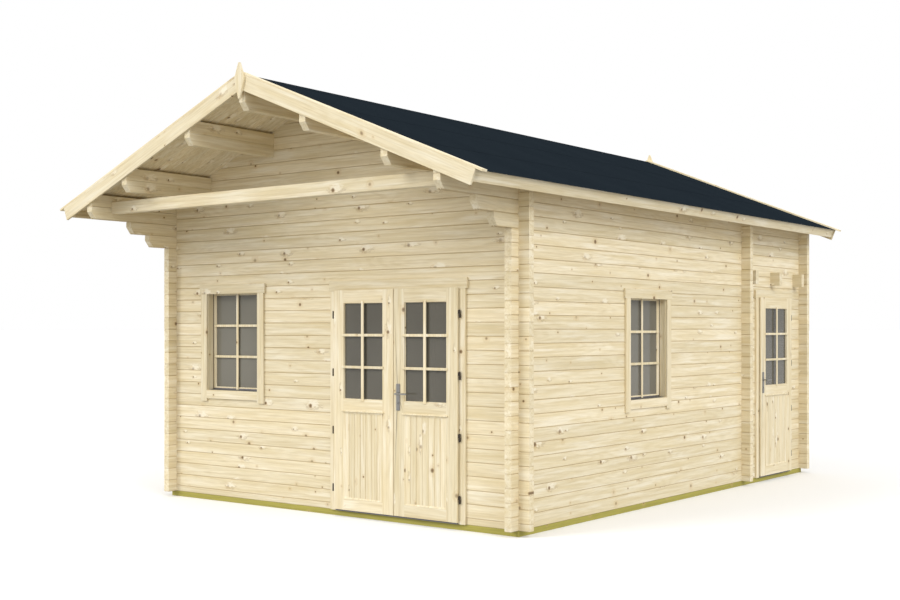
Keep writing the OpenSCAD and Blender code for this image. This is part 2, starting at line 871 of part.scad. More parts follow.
module purlins() {
    color(spruce) placed()
        for (x = purlin_places)
            roof_beam(x, purlin_h);
}

module tie_beam() {
    reach = half_w - log_t / 2 - notch_fit;
    color(spruce) placed()
        log_along_x(-reach, reach, tie_y, cross_z(gable_course), log_h - log_gap, false, false);
}

module loft_joists() {
    reach = half_w + loft_joist_end;
    color(spruce) placed()
        for (i = [0:loft_joist_count - 1])
            translate([-reach, loft_joist_y + i * loft_joist_step, loft_joist_z])
                cube([2 * reach, log_t, loft_joist_h]);
}

// Roof covering

module roof_boards_right() {
    color(spruce) placed() slope_layer(0, board_t, boards_end, roof_front, roof_rear);
}

module roof_boards_left() {
    color(spruce) placed() mirror([1, 0, 0]) slope_layer(0, board_t, boards_end, roof_front, roof_rear);
}

module roofing_right() {
    color(felt) placed() slope_layer(roofing_low, roof_top, roofing_end, roof_front, roof_rear);
}

module roofing_left() {
    color(felt) placed() mirror([1, 0, 0]) slope_layer(roofing_low, roof_top, roofing_end, roof_front, roof_rear);
}

module bargeboard_pair(y) {
    both_sides() slope_layer(roof_top - barge_h, roof_top, barge_end, y, y + barge_t);
}

module front_bargeboards() {
    color(spruce) placed() bargeboard_pair(roof_front - seat - barge_t);
}

module rear_bargeboards() {
    color(spruce) placed() bargeboard_pair(roof_rear + seat);
}

module cover_strips() {
    color(spruce) placed()
        both_sides() {
            y_front = roof_front - seat - barge_t;
            slope_layer(strip_low, strip_low + strip_t, strip_end, y_front, y_front + strip_w);
            y_rear = roof_rear + seat + barge_t;
            slope_layer(strip_low, strip_low + strip_t, strip_end, y_rear - strip_w, y_rear);
        }
}

// Kite-shaped board with blunt ends and upright shoulders
module finial_outline() {
    tip = finial_tip / 2;
    side = finial_w / 2;
    low = finial_waist - finial_shoulder / 2;
    high = finial_waist + finial_shoulder / 2;
    polygon([[-tip, 0], [tip, 0], [side, low], [side, high], [tip, finial_h],
        [-tip, finial_h], [-side, high], [-side, low]]);
}

module finials() {
    low = apex_z + finial_rise - finial_h;
    color(spruce) placed()
        for (y = [roof_front - 2 * seat - barge_t, roof_rear + 2 * seat + barge_t + finial_t])
            translate([0, y, low]) rotate([90, 0, 0]) linear_extrude(finial_t) finial_outline();
}

module eave_fascias() {
    color(spruce) placed()
        both_sides()
            translate([0, roof_rear, 0]) rotate([90, 0, 0]) linear_extrude(roof_rear - roof_front)
                polygon([slope_point(boards_end + seat, board_t - fascia_h), slope_point(fascia_end, board_t - fascia_h),
                    slope_point(fascia_end, board_t), slope_point(boards_end + seat, board_t)]);
}

// Double door

module at_front_door() {
    placed() translate([front_door_at, 0, 0]) children();
}

module at_side_door() {
    placed() in_side_wall(side_door_y) children();
}

module double_door_frame() {
    color(spruce) at_front_door() door_frame(front_hole_half, door_hole_top);
}

module double_door_casing() {
    color(spruce) at_front_door() door_casing(front_hole_half);
}

module double_door_threshold() {
    color(steel) at_front_door() door_threshold(front_hole_half);
}

module at_left_leaf() {
    at_front_door() translate([-front_leaves_w / 2, leaf_face, 0]) children();
}

module at_right_leaf() {
    at_front_door() translate([front_leaves_w / 2, leaf_face, 0]) mirror([1, 0, 0]) children();
}

module left_leaf() {
    color(spruce) at_left_leaf() door_leaf(front_leaf_w, hinge_stile, meeting_stile, 0);
}

module right_leaf() {
    color(spruce) at_right_leaf()
        door_leaf(front_leaf_w, hinge_stile, meeting_stile, 0, front_leaf_w - lever_inset);
}

module left_leaf_glass() {
    color(pane) at_left_leaf() leaf_glass(front_leaf_w, hinge_stile, meeting_stile);
}

module right_leaf_glass() {
    color(pane) at_right_leaf() leaf_glass(front_leaf_w, hinge_stile, meeting_stile);
}

module left_leaf_hinges() {
    color(dark_steel) at_left_leaf() leaf_hinge_halves();
}

module right_leaf_hinges() {
    color(dark_steel) at_right_leaf() leaf_hinge_halves();
}

front_spindle_x = meeting_gap / 2 + lever_inset;

module double_door_handle_plates() {
    color(steel) at_front_door() translate([front_spindle_x, leaf_face, 0]) handle_plates();
}

module double_door_lever() {
    color(steel) at_front_door() translate([front_spindle_x, leaf_face, 0]) lever_set();
}

// Side door, hinged at its rear edge

module side_door_frame() {
    color(spruce) at_side_door() door_frame(side_hole_half, door_hole_top);
}

module side_door_casing() {
    color(spruce) at_side_door() door_casing(side_hole_half);
}

module side_door_threshold() {
    color(steel) at_side_door() door_threshold(side_hole_half);
}

module at_side_leaf() {
    at_side_door() translate([side_leaf_w / 2, leaf_face, 0]) mirror([1, 0, 0]) children();
}

module side_leaf() {
    color(spruce) at_side_leaf()
        door_leaf(side_leaf_w, side_stile, side_stile, lip_w, side_leaf_w - lever_inset);
}

module side_leaf_glass() {
    color(pane) at_side_leaf() leaf_glass(side_leaf_w, side_stile, side_stile);
}

module side_leaf_hinges() {
    color(dark_steel) at_side_leaf() leaf_hinge_halves();
}

side_spindle_x = -side_leaf_w / 2 + lever_inset;

module side_door_handle_plates() {
    color(steel) at_side_door() translate([side_spindle_x, leaf_face, 0]) handle_plates();
}

module side_door_lever() {
    color(steel) at_side_door() translate([side_spindle_x, leaf_face, 0]) lever_set();
}

module hinge_pins() {
    color(dark_steel) {
        at_left_leaf() frame_hinge_halves();
        at_right_leaf() frame_hinge_halves();
        at_side_leaf() frame_hinge_halves();
    }
}

// Windows

module window_frames() {
    color(spruce) placed() at_both_windows() window_frame(0);
}

module window_sashes() {
    color(spruce) placed() at_both_windows() window_sash(0);
}

module window_glass() {
    color(pane) placed() at_both_windows() window_pane(0);
}

module window_casings() {
    color(spruce) placed() at_both_windows() window_casing(0);
}

foundation_bearers();
floor_joists();
floor_boards();
front_wall_left();
front_wall_right();
front_wall_over_door();
front_gable();
left_wall();
right_wall_front();
right_wall_rear();
right_wall_over_door();
rear_wall();
rear_gable();
partition_wall();
wall_plates();
ridge_purlin();
purlins();
tie_beam();
loft_joists();
roof_boards_left();
roof_boards_right();
roofing_left();
roofing_right();
front_bargeboards();
rear_bargeboards();
cover_strips();
finials();
eave_fascias();
double_door_frame();
double_door_casing();
double_door_threshold();
left_leaf();
right_leaf();
left_leaf_glass();
right_leaf_glass();
left_leaf_hinges();
right_leaf_hinges();
double_door_handle_plates();
double_door_lever();
side_door_frame();
side_door_casing();
side_door_threshold();
side_leaf();
side_leaf_glass();
side_leaf_hinges();
side_door_handle_plates();
side_door_lever();
hinge_pins();
window_frames();
window_sashes();
window_glass();
window_casings();
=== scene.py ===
import json
import math

import bmesh
import bpy
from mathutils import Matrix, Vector


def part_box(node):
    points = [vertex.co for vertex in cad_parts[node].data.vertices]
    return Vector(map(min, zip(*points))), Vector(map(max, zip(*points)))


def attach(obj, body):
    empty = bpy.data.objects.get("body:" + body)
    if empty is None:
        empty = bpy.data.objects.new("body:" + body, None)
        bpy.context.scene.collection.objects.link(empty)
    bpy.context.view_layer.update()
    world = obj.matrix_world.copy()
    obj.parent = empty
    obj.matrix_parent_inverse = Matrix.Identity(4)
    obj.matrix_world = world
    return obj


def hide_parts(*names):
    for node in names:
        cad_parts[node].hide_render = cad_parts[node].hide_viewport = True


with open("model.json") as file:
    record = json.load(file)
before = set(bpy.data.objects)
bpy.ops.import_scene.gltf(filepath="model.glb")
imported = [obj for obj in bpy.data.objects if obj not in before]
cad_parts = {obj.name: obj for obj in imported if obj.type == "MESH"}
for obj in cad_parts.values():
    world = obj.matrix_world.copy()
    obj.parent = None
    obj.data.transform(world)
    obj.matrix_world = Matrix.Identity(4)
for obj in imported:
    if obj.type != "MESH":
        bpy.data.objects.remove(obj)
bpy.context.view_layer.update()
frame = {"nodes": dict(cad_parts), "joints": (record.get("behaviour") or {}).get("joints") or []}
NODES = frame["nodes"]
JOINT_AT = {joint["name"]: joint["pos_m"] for joint in frame["joints"]}

# Walls and base, in metres
HALF_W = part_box("foundation_bearers")[1].x
FRONT_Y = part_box("foundation_bearers")[0].y
BEARER_H = 0.05
BEARER_W = 0.09
LOG_H = 0.115
LOG_GAP = 0.0003
PLATE_COURSES = 25
FLOOR_GAP = 0.004
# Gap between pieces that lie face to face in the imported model
SEAT = 0.0002

# Roof: distances down a slope start at the middle of the roof
PITCH = math.radians(22)
EAVE_OVERHANG = 0.3
BOARD_T = 0.018
FASCIA_T = 0.018
ROOFING_DRIP = 0.024
APEX_Z = BEARER_H + PLATE_COURSES * LOG_H + HALF_W * math.tan(PITCH)
BOARDS_END = (HALF_W + EAVE_OVERHANG) / math.cos(PITCH)
ROOFING_END = BOARDS_END + SEAT + FASCIA_T + ROOFING_DRIP
ROOFING_LOW = BOARD_T + SEAT
ROOF_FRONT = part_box("roof_boards_right")[0].y
ROOF_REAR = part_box("roof_boards_right")[1].y

# Door leaves, which have the same heights and thickness
GLASS_T = 0.006
GLASS_LAP = 0.0077
BOTTOM_RAIL = 0.101
MIDDLE_RAIL = 0.115
LIP_W = 0.014
LEAF_GAP = 0.006
LEAF_LOW, LEAF_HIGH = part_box("left_leaf")
LEAF_FACE = LEAF_LOW.y - FRONT_Y
LEAF_T = LEAF_HIGH.y - LEAF_LOW.y
GLASS_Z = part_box("left_leaf_glass")[0].z + GLASS_LAP
GLASS_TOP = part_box("left_leaf_glass")[1].z - GLASS_LAP
PANEL_Z = LEAF_LOW.z + BOTTOM_RAIL
PANEL_TOP = GLASS_Z - MIDDLE_RAIL
DOOR_HEAD_Z = LEAF_HIGH.z - LIP_W + LEAF_GAP

# Windows: middle along the wall and foot of the hole in the logs, then sizes that both share
FRONT_WINDOW_X = -1.216
SIDE_WINDOW_Y = FRONT_Y + 2.124
FRONT_HOLE_Z = BEARER_H + 8.5 * LOG_H
SIDE_HOLE_Z = BEARER_H + 8 * LOG_H
HOLE_HALF = 0.38
HOLE_H = 9 * LOG_H
WINDOW_FRAME_W = 0.036
WINDOW_FRAME_DEPTH = 0.092
SASH_W = 0.034
SASH_T = 0.028
SASH_FACE = WINDOW_FRAME_DEPTH - SASH_T
CASING_SIDE_LAP = 0.030
CASING_HEAD_LAP = 0.062
FRAME_EDGE = SEAT + WINDOW_FRAME_W
SASH_EDGE = SEAT + SASH_W
FRAME_HALF = HOLE_HALF - FRAME_EDGE
FRAME_INNER_H = HOLE_H - LOG_GAP - 2 * FRAME_EDGE


def glazed_opening(node, axis):
    """Ends of the opening round a pane, along X for axis 0 or Y for axis 1."""
    low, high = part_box(node)
    return low[axis] + GLASS_LAP, high[axis] - GLASS_LAP


LEFT_OPENING = glazed_opening("left_leaf_glass", 0)
RIGHT_OPENING = glazed_opening("right_leaf_glass", 0)
SIDE_OPENING = glazed_opening("side_leaf_glass", 1)


# Places in the part's frame: along a wall, depth behind a face, height

def front_place(face):
    """Along X, with depth counted inwards from a plane of the front wall."""
    return lambda a, d, z: Vector((a, FRONT_Y + face + d, z))


def side_place(face):
    """Along Y, with depth counted inwards from a plane of the right wall."""
    return lambda a, d, z: Vector((HALF_W - face - d, a, z))


def roof_place(side):
    """Down the right or left slope, along Y, and off the boards' underside."""
    def place(s, y, n):
        x = s * math.cos(PITCH) + n * math.sin(PITCH)
        z = APEX_Z - s * math.sin(PITCH) + n * math.cos(PITCH)
        return Vector((side * x, y, z))
    return place


def down_slope_at(x, n):
    """Distance down the slope of a point that is n off the underside and x from the middle."""
    return (x - n * math.sin(PITCH)) / math.cos(PITCH)


# Mesh pieces

# Points closer than this become one, and edges sharper than this angle stay sharp on smooth pieces
SAME_POINT = 0.000001
SMOOTH_ANGLE = math.radians(35)


class Piece:
    """Collects faces and turns them into one object."""

    def __init__(self):
        self.bm = bmesh.new()

    def loft(self, rings, closed=False):
        """Joins rings of points in order, and caps the ends or joins the last ring to the first."""
        rows = [[self.bm.verts.new(p) for p in ring] for ring in rings]
        pairs = list(zip(rows, rows[1:]))
        if closed:
            pairs.append((rows[-1], rows[0]))
        for low, high in pairs:
            for i in range(len(low)):
                j = (i + 1) % len(low)
                self.bm.faces.new((low[i], low[j], high[j], high[i]))
        if not closed:
            self.bm.faces.new(rows[0])
            self.bm.faces.new(list(reversed(rows[-1])))

    def bar(self, place, ends, outline):
        """A bar along a wall: outline points are depth and height."""
        self.loft([[place(a, d, z) for d, z in outline] for a in ends])

    def block(self, place, a, d, z, cut):
        """A board whose outer face, at the first depth, has bevelled edges."""
        rings = []
        shoulder = d[0] + math.copysign(cut, d[1] - d[0])
        for depth, inset in ((d[1], 0.0), (shoulder, 0.0), (d[0], cut)):
            corners = ((a[0] + inset, z[0] + inset), (a[1] - inset, z[0] + inset),
                       (a[1] - inset, z[1] - inset), (a[0] + inset, z[1] - inset))
            rings.append([place(x, depth, y) for x, y in corners])
        self.loft(rings)

    def rectangle_ring(self, place, a, z, profile):
        """A mitred moulding round a rectangle: profile points are inset and depth."""
        rings = []
        for corner in range(4):
            ring = []
            for inset, depth in profile:
                x = a[0] + inset if corner in (0, 3) else a[1] - inset
                y = z[0] + inset if corner in (0, 1) else z[1] - inset
                ring.append(place(x, depth, y))
            rings.append(ring)
        self.loft(rings, closed=True)

    def turned(self, place, a, z, profile, foot, out, steps=20, closed=False):
        """A turned shape on a foot: profile points are radius and distance out along the depth."""
        rings = []
        for radius, rise in profile:
            ring = []
            for i in range(steps):
                t = 2 * math.pi * i / steps
                ring.append(place(a + radius * math.cos(t), foot + out * rise, z + radius * math.sin(t)))
            rings.append(ring)
        self.loft(rings, closed=closed)

    def finish(self, name, material, body, smooth=False):
        """Makes the object, and says which body it rides on and which slot it takes."""
        bmesh.ops.remove_doubles(self.bm, verts=self.bm.verts, dist=SAME_POINT)
        bmesh.ops.recalc_face_normals(self.bm, faces=self.bm.faces)
        mesh = bpy.data.meshes.new(name)
        self.bm.to_mesh(mesh)
        self.bm.free()
        obj = bpy.data.objects.new(name, mesh)
        bpy.context.scene.collection.objects.link(obj)
        mesh.materials.append(material)
        if smooth:
            for face in mesh.polygons:
                face.use_smooth = True
            obj.modifiers.new("edges", "EDGE_SPLIT").split_angle = SMOOTH_ANGLE
        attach(obj, body)
        return obj


# Materials

class Shader:
    """A material's node tree with short ways to add nodes."""

    def __init__(self, name):
        self.material = bpy.data.materials.new(name)
        self.material.use_nodes = True
        self.tree = self.material.node_tree
        self.tree.nodes.clear()
        output = self.add("ShaderNodeOutputMaterial")
        self.bsdf = self.add("ShaderNodeBsdfPrincipled")
        self.link(self.bsdf.outputs["BSDF"], output.inputs["Surface"])

    def add(self, kind, **settings):
        node = self.tree.nodes.new(kind)
        for key, value in settings.items():
            setattr(node, key, value)
        return node

    def link(self, source, target):
        self.tree.links.new(source, target)

    def put(self, value, socket):
        """Sets a socket to a number or a colour, or links another node's output to it."""
        if isinstance(value, tuple):
            socket.default_value = (*value, 1.0)
        elif isinstance(value, (int, float)):
            socket.default_value = value
        else:
            self.link(value, socket)

    def surface(self, settings):
        """Sets or links the shader's sockets by name."""
        for name, value in settings.items():
            self.put(value, self.bsdf.inputs[name])

    def math(self, operation, *values, clamp=False):
        node = self.add("ShaderNodeMath", operation=operation, use_clamp=clamp)
        for value, socket in zip(values, node.inputs):
            self.put(value, socket)
        return node.outputs[0]

    def times(self, first, second):
        return self.math("MULTIPLY", first, second)

    def minus(self, first, second):
        return self.math("SUBTRACT", first, second)

    def over(self, first, second):
        return self.math("DIVIDE", first, second)

    def scaled_plus(self, first, factor, second):
        return self.math("MULTIPLY_ADD", first, factor, second)

    def length(self, first, second):
        return self.math("SQRT", self.math("ADD", self.times(first, first), self.times(second, second)))

    def combine(self, x, y, z):
        node = self.add("ShaderNodeCombineXYZ")
        for value, socket in zip((x, y, z), node.inputs):
            self.put(value, socket)
        return node.outputs[0]

    def split(self, vector):
        node = self.add("ShaderNodeSeparateXYZ")
        self.link(vector, node.inputs[0])
        return node.outputs[0], node.outputs[1], node.outputs[2]

    def noise(self, point, scale, detail):
        """Noise at a point, each of whose coordinates has its own scale."""
        node = self.add("ShaderNodeTexNoise")
        self.link(self.combine(*map(self.times, point, scale)), node.inputs["Vector"])
        for name, number in (("Scale", 1.0), ("Detail", detail), ("Roughness", 0.5)):
            node.inputs[name].default_value = number
        return node.outputs["Fac"]

    def ramp(self, value, low, high, out_low=0.0, out_high=1.0):
        node = self.add("ShaderNodeMapRange", interpolation_type="SMOOTHSTEP")
        self.put(value, node.inputs["Value"])
        limits = (("From Min", low), ("From Max", high), ("To Min", out_low), ("To Max", out_high))
        for name, number in limits:
            node.inputs[name].default_value = number
        return node.outputs["Result"]

    def mix(self, amount, first, second, blend="MIX"):
        """Goes from the first colour to the second as the amount goes from 0 to 1."""
        node = self.add("ShaderNodeMix", data_type="RGBA", blend_type=blend)
        self.put(amount, node.inputs["Factor"])
        colours = [socket for socket in node.inputs if socket.type == "RGBA"]
        for value, socket in zip((first, second), colours):
            self.put(value, socket)
        return next(socket for socket in node.outputs if socket.type == "RGBA")

    def bump(self, height, strength, distance):
        node = self.add("ShaderNodeBump")
        node.inputs["Strength"].default_value = strength
        node.inputs["Distance"].default_value = distance
        self.link(height, node.inputs["Height"])
        self.link(node.outputs["Normal"], self.bsdf.inputs["Normal"])

    def position(self):
        return self.split(self.add("ShaderNodeTexCoord").outputs["Object"])


# Grain directions: each gives the distances along, through and across the grain

def along_x(s):
    return s.position()


def along_y(s):
    x, y, z = s.position()
    return y, x, z


def along_z(s):
    x, y, z = s.position()
    return z, s.minus(x, y), s.math("ADD", x, y)


def along_slope(s):
    x, y, z = s.position()
    rise = s.times(s.math("ABSOLUTE", x), math.tan(PITCH))
    return x, y, s.math("ADD", z, rise)


def down_slope(s):
    x, y, z = s.position()
    return x, z, y


def stiles_and_rails(axis, low, high):
    """Upright grain in the stiles, level grain in the rails between them."""
    def grain(s):
        x, y, z = s.position()
        level, through = (x, y) if axis == "x" else (y, x)
        inside = s.times(s.math("GREATER_THAN", level, low), s.math("LESS_THAN", level, high))
        along = s.scaled_plus(inside, s.minus(level, z), z)
        across = s.minus(s.math("ADD", level, z), along)
        return along, through, across
    return grain


PALE = (0.790, 0.690, 0.480)
RING = (0.610, 0.490, 0.275)
WARM = (0.690, 0.565, 0.320)
BRIGHT = (0.900, 0.840, 0.690)
# Painted shade: the brown that darkens the bevelled joints between logs
SEAM_SHADE = (0.400, 0.275, 0.115)
KNOT = (0.27, 0.172, 0.078)
KNOT_HEART = (0.10, 0.063, 0.029)
KNOT_HALO = (0.60, 0.42, 0.19)
GREEN = (0.415, 0.365, 0.080)
GREEN_RING = (0.30, 0.265, 0.060)

# How far the grain pattern jumps along, through and across from piece to piece
PIECE_JUMPS = (31.7, 5.3, 17.9)
# Radius of the smallest knot, what chance adds to it, and how much longer knots are along the grain
KNOT_R = 0.007
KNOT_R_SPREAD = 0.014
KNOT_STRETCH = 1.08
# Share of the knots that have a pale patch beside them
PATCH_SHARE = 0.45


def knot_masks(s, point, share, cell):
    """Masks of the knots: one spot in a share of the cells of a grid, cell being cells to the metre."""
    u, v, w = point
    cells = s.add("ShaderNodeTexVoronoi", voronoi_dimensions="2D", feature="F1")
    cells.inputs["Scale"].default_value = 1.0
    spot = s.combine(s.times(u, cell[0]), s.times(w, cell[1]), 0.0)
    s.link(spot, cells.inputs["Vector"])
    here = s.split(spot)
    middle = s.split(cells.outputs["Position"])
    du = s.over(s.minus(here[0], middle[0]), cell[0] * KNOT_STRETCH)
    dw = s.over(s.minus(here[1], middle[1]), cell[1])
    draws = s.add("ShaderNodeSeparateColor")
    s.link(cells.outputs["Color"], draws.inputs[0])
    size_draw, share_draw, depth_draw = draws.outputs
    radius = s.scaled_plus(s.math("POWER", size_draw, 2.0), KNOT_R_SPREAD, KNOT_R)
    shown = s.math("LESS_THAN", share_draw, share)
    depth = s.times(shown, s.ramp(depth_draw, 0.1, 0.8, 0.25, 1.0))
    away = s.over(s.length(du, dw), radius)

    # The pale patch lies to one side of the knot and has a ragged edge, with a brown crescent under it
    patched = s.math("LESS_THAN", share_draw, PATCH_SHARE * share)
    patch_u = s.times(s.scaled_plus(radius, -1.8, du), 0.52)
    patch_w = s.scaled_plus(radius, -1.0, dw)
    ragged = s.noise((u, v, w), (26.0, 0.0, 62.0), 3.0)
    beside = s.minus(s.over(s.length(patch_u, patch_w), radius), 2.3)
    beside = s.scaled_plus(ragged, 4.6, beside)
    rim = s.times(s.ramp(beside, 3.1, 2.3), s.ramp(beside, 1.5, 2.1))
    under = s.ramp(s.over(patch_w, radius), 0.4, -1.4)
    return {
        "core": s.times(s.ramp(away, 1.20, 0.60), depth),
        "heart": s.times(s.ramp(away, 0.70, 0.20), depth),
        "halo": s.times(s.ramp(away, 3.4, 0.9), shown),
        "bright": s.times(s.ramp(beside, 2.3, 0.5), patched),
        "crescent": s.times(s.times(rim, under), patched),
    }


def seam_shade_mask(s, height, seam):
    """Mask of painted shade in the log joints, given the height of one of them."""
    course = s.over(s.minus(height, seam - LOG_H / 2), LOG_H)
    off = s.math("ABSOLUTE", s.minus(s.math("FRACT", course), 0.5))
    return s.ramp(off, 0.042, 0.016, 0.0, 0.45)


def wood(name, grain, knots=0.56, cell=(2.1, 9.5), seam=None, treated=False):
    """Planed softwood whose grain, growth rings and knots change from piece to piece.

    seam is the height of one log joint, where shade in the bevelled edges is painted into the colour."""
    s = Shader(name)
    chance = s.add("ShaderNodeNewGeometry").outputs["Random Per Island"]
    along, through, across = grain(s)
    point = [s.scaled_plus(chance, jump, part) for jump, part in zip(PIECE_JUMPS, (along, through, across))]
    knot = knot_masks(s, point, knots, cell)

    # Rings are contour lines of a stretched noise, bent round the knots
    field = s.noise(point, (0.55, 7.0, 7.5), 1.2)
    phase = s.scaled_plus(knot["halo"], 0.09, field)
    rings = s.ramp(s.math("SINE", s.times(phase, 95.0)), -0.6, 1.0)
    streak = s.noise(point, (1.3, 40.0, 52.0), 3.0)
    fibre = s.noise(point, (9.0, 420.0, 420.0), 2.0)
    cloud = s.noise(point, (1.7, 14.0, 22.0), 3.0)

    # Colour from the rings and streaks up to the knots, which lie over all the rest
    tone = s.scaled_plus(rings, 0.26, s.ramp(streak, 0.42, 0.68, 0.0, 0.72))
    pale, ring = (GREEN, GREEN_RING) if treated else (PALE, RING)
    colour = s.mix(s.math("MULTIPLY", tone, 0.70, clamp=True), pale, ring)
    if not treated:
        colour = s.mix(s.ramp(cloud, 0.47, 0.70, 0.0, 0.50), colour, WARM)
        colour = s.mix(s.ramp(cloud, 0.48, 0.30, 0.0, 0.42), colour, BRIGHT)
    piece_shade = s.ramp(s.math("FRACT", s.times(chance, 57.3)), 0.0, 1.0, 0.945, 1.05)
    shade = s.times(piece_shade, s.ramp(fibre, 0.25, 0.75, 0.93, 1.05))
    tint = s.combine(shade, shade, s.math("POWER", shade, 1.15))
    colour = s.mix(1.0, colour, tint, "MULTIPLY")
    colour = s.mix(s.times(knot["halo"], 0.30), colour, KNOT_HALO)
    if not treated:
        colour = s.mix(s.times(knot["bright"], 0.60), colour, BRIGHT)
        colour = s.mix(s.times(knot["crescent"], 0.30), colour, KNOT)
    colour = s.mix(s.times(knot["core"], 0.92), colour, KNOT)
    colour = s.mix(s.times(knot["heart"], 0.75), colour, KNOT_HEART)
    # Painted shade in the bevelled log joints, darker than the wood round them
    if seam is not None:
        colour = s.mix(seam_shade_mask(s, across, seam), colour, SEAM_SHADE)

    rough = 0.75 if treated else 0.58
    s.surface({"Base Color": colour, "Roughness": rough, "Specular IOR Level": 0.28})
    relief = s.math("ADD", s.times(rings, 0.4), s.minus(fibre, knot["core"]))
    s.bump(relief, 0.22, 0.0006)
    return s.material


def felt(name):
    """Dark roofing felt with a mineral grit."""
    s = Shader(name)
    point = s.position()
    grit = s.noise(point, (900.0, 900.0, 900.0), 2.0)
    cloud = s.noise(point, (0.7, 3.0, 0.7), 3.0)
    colour = s.mix(s.ramp(grit, 0.3, 0.7), (0.0078, 0.0125, 0.0172), (0.0188, 0.0252, 0.0315))
    colour = s.mix(s.ramp(cloud, 0.3, 0.75, 0.0, 0.4), colour, (0.0100, 0.0145, 0.0195))
    s.surface({"Base Color": colour, "Roughness": 0.95, "Specular IOR Level": 0.0})
    s.bump(grit, 0.35, 0.0008)
    return s.material


def glass(name, tint):
    """Grey glass with slow waves in its tint."""
    s = Shader(name)
    wave = s.noise(s.position(), (2.3, 2.3, 1.7), 1.0)
    dark = tuple(part * 0.88 for part in tint)
    colour = s.mix(s.ramp(wave, 0.3, 0.7), dark, tint)
    s.surface({"Base Color": colour, "Roughness": 0.06, "Alpha": 0.72, "Specular IOR Level": 0.4})
    return s.material


def metal(name, colour, rough, metallic, scale):
    """Metal or rubber with fine marks, longest along the direction of the smallest scale."""
    s = Shader(name)
    scratch = s.noise(s.position(), scale, 3.0)
    dark = tuple(part * 0.72 for part in colour)
    marked = s.mix(s.ramp(scratch, 0.3, 0.7), dark, colour)
    gloss = s.ramp(scratch, 0.2, 0.8, rough - 0.08, rough + 0.10)
    s.surface({"Base Color": marked, "Roughness": gloss, "Metallic": metallic})
    s.bump(scratch, 0.08, 0.0003)
    return s.material


BOARD_KNOTS = {"knots": 0.35, "cell": (2.6, 11.0)}
LEAF_KNOTS = {"knots": 0.42, "cell": (2.6, 9.0)}

log_x = wood("spruce_log_along_x", along_x, seam=BEARER_H + LOG_H / 2)
log_y = wood("spruce_log_along_y", along_y, seam=BEARER_H)
beam_x = wood("spruce_beam_along_x", along_x, knots=0.5)
beam_y = wood("spruce_beam_along_y", along_y, knots=0.5)
board_x = wood("spruce_board_along_x", along_x, **BOARD_KNOTS)
board_y = wood("spruce_board_along_y", along_y, **BOARD_KNOTS)
board_z = wood("spruce_board_upright", along_z, **BOARD_KNOTS)
board_slope = wood("spruce_board_on_slope", along_slope, knots=0.62, cell=(2.4, 9.0))
board_down = wood("spruce_board_down_slope", down_slope, knots=0.55, cell=(3.0, 10.0))
door_left = wood("spruce_left_leaf", stiles_and_rails("x", *LEFT_OPENING), **LEAF_KNOTS)
door_right = wood("spruce_right_leaf", stiles_and_rails("x", *RIGHT_OPENING), **LEAF_KNOTS)
door_side = wood("spruce_side_leaf", stiles_and_rails("y", *SIDE_OPENING), **LEAF_KNOTS)
panel_z = wood("spruce_panel_board", along_z, knots=0.5, cell=(3.2, 13.0))
treated_x = wood("treated_along_x", along_x, knots=0.4, treated=True)
treated_y = wood("treated_along_y", along_y, knots=0.4, treated=True)
roofing = felt("roofing_felt")
door_glass = glass("door_glass", (0.150, 0.138, 0.108))
window_glass = glass("window_glass", (0.235, 0.220, 0.175))
hinge_metal = metal("hinge_dark_steel", (0.036, 0.024, 0.015), 0.50, 0.35, (60.0, 60.0, 400.0))
handle_metal = metal("handle_brushed_steel", (0.255, 0.25, 0.24), 0.40, 1.0, (900.0, 900.0, 18.0))
sill_metal = metal("threshold_aluminium", (0.20, 0.195, 0.21), 0.45, 0.85, (25.0, 25.0, 700.0))
# Painted shade: a dark brown seal strip that stands in for the shadow in the gap round each sash
gap_shade_seal = metal("seal_brown_rubber", (0.120, 0.088, 0.050), 0.60, 0.0, (200.0, 200.0, 200.0))
# Painted shade: near-black blocks that stand in for the dark inside of the keyhole slots
keyhole_shade = metal("keyhole_dark", (0.012, 0.012, 0.013), 0.5, 0.3, (300.0, 300.0, 300.0))


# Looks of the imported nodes

LOOKS = {
    log_x: ["front_wall_left", "front_wall_right", "front_wall_over_door", "front_gable", "rear_wall",
            "rear_gable", "partition_wall"],
    log_y: ["left_wall", "right_wall_front", "right_wall_rear", "right_wall_over_door", "wall_plates"],
    beam_x: ["tie_beam", "loft_joists"],
    beam_y: ["ridge_purlin", "purlins"],
    board_y: ["floor_boards", "eave_fascias"],
    board_down: ["roof_boards_left", "roof_boards_right"],
    board_slope: ["front_bargeboards", "rear_bargeboards", "cover_strips"],
    board_z: ["finials", "double_door_frame", "double_door_casing", "side_door_frame", "side_door_casing",
              "window_frames", "window_sashes", "window_casings"],
    door_left: ["left_leaf"],
    door_right: ["right_leaf"],
    door_side: ["side_leaf"],
    roofing: ["roofing_left", "roofing_right"],
    door_glass: ["left_leaf_glass", "right_leaf_glass", "side_leaf_glass"],
    window_glass: ["window_glass"],
    hinge_metal: ["left_leaf_hinges", "right_leaf_hinges", "side_leaf_hinges", "hinge_pins"],
    handle_metal: ["double_door_handle_plates", "double_door_lever", "side_door_handle_plates",
                   "side_door_lever"],
    sill_metal: ["double_door_threshold", "side_door_threshold"],
    treated_x: ["floor_joists"],
    treated_y: ["foundation_bearers"],
}
for material, names in LOOKS.items():
    for name in names:
        mesh = NODES[name].data
        mesh.materials.clear()
        mesh.materials.append(material)

# Slack in telling the faces of level pieces from those of upright ones
FACE_SLACK = 0.0001


def level_grain(name, material, is_level):
    """Gives a node's level pieces, told by the middles of their faces, a material with level grain."""
    mesh = NODES[name].data
    mesh.materials.append(material)
    for face in mesh.polygons:
        if is_level(face.center):
            face.material_index = len(mesh.materials) - 1


def in_door_head(c):
    return c.z > DOOR_HEAD_Z - FACE_SLACK


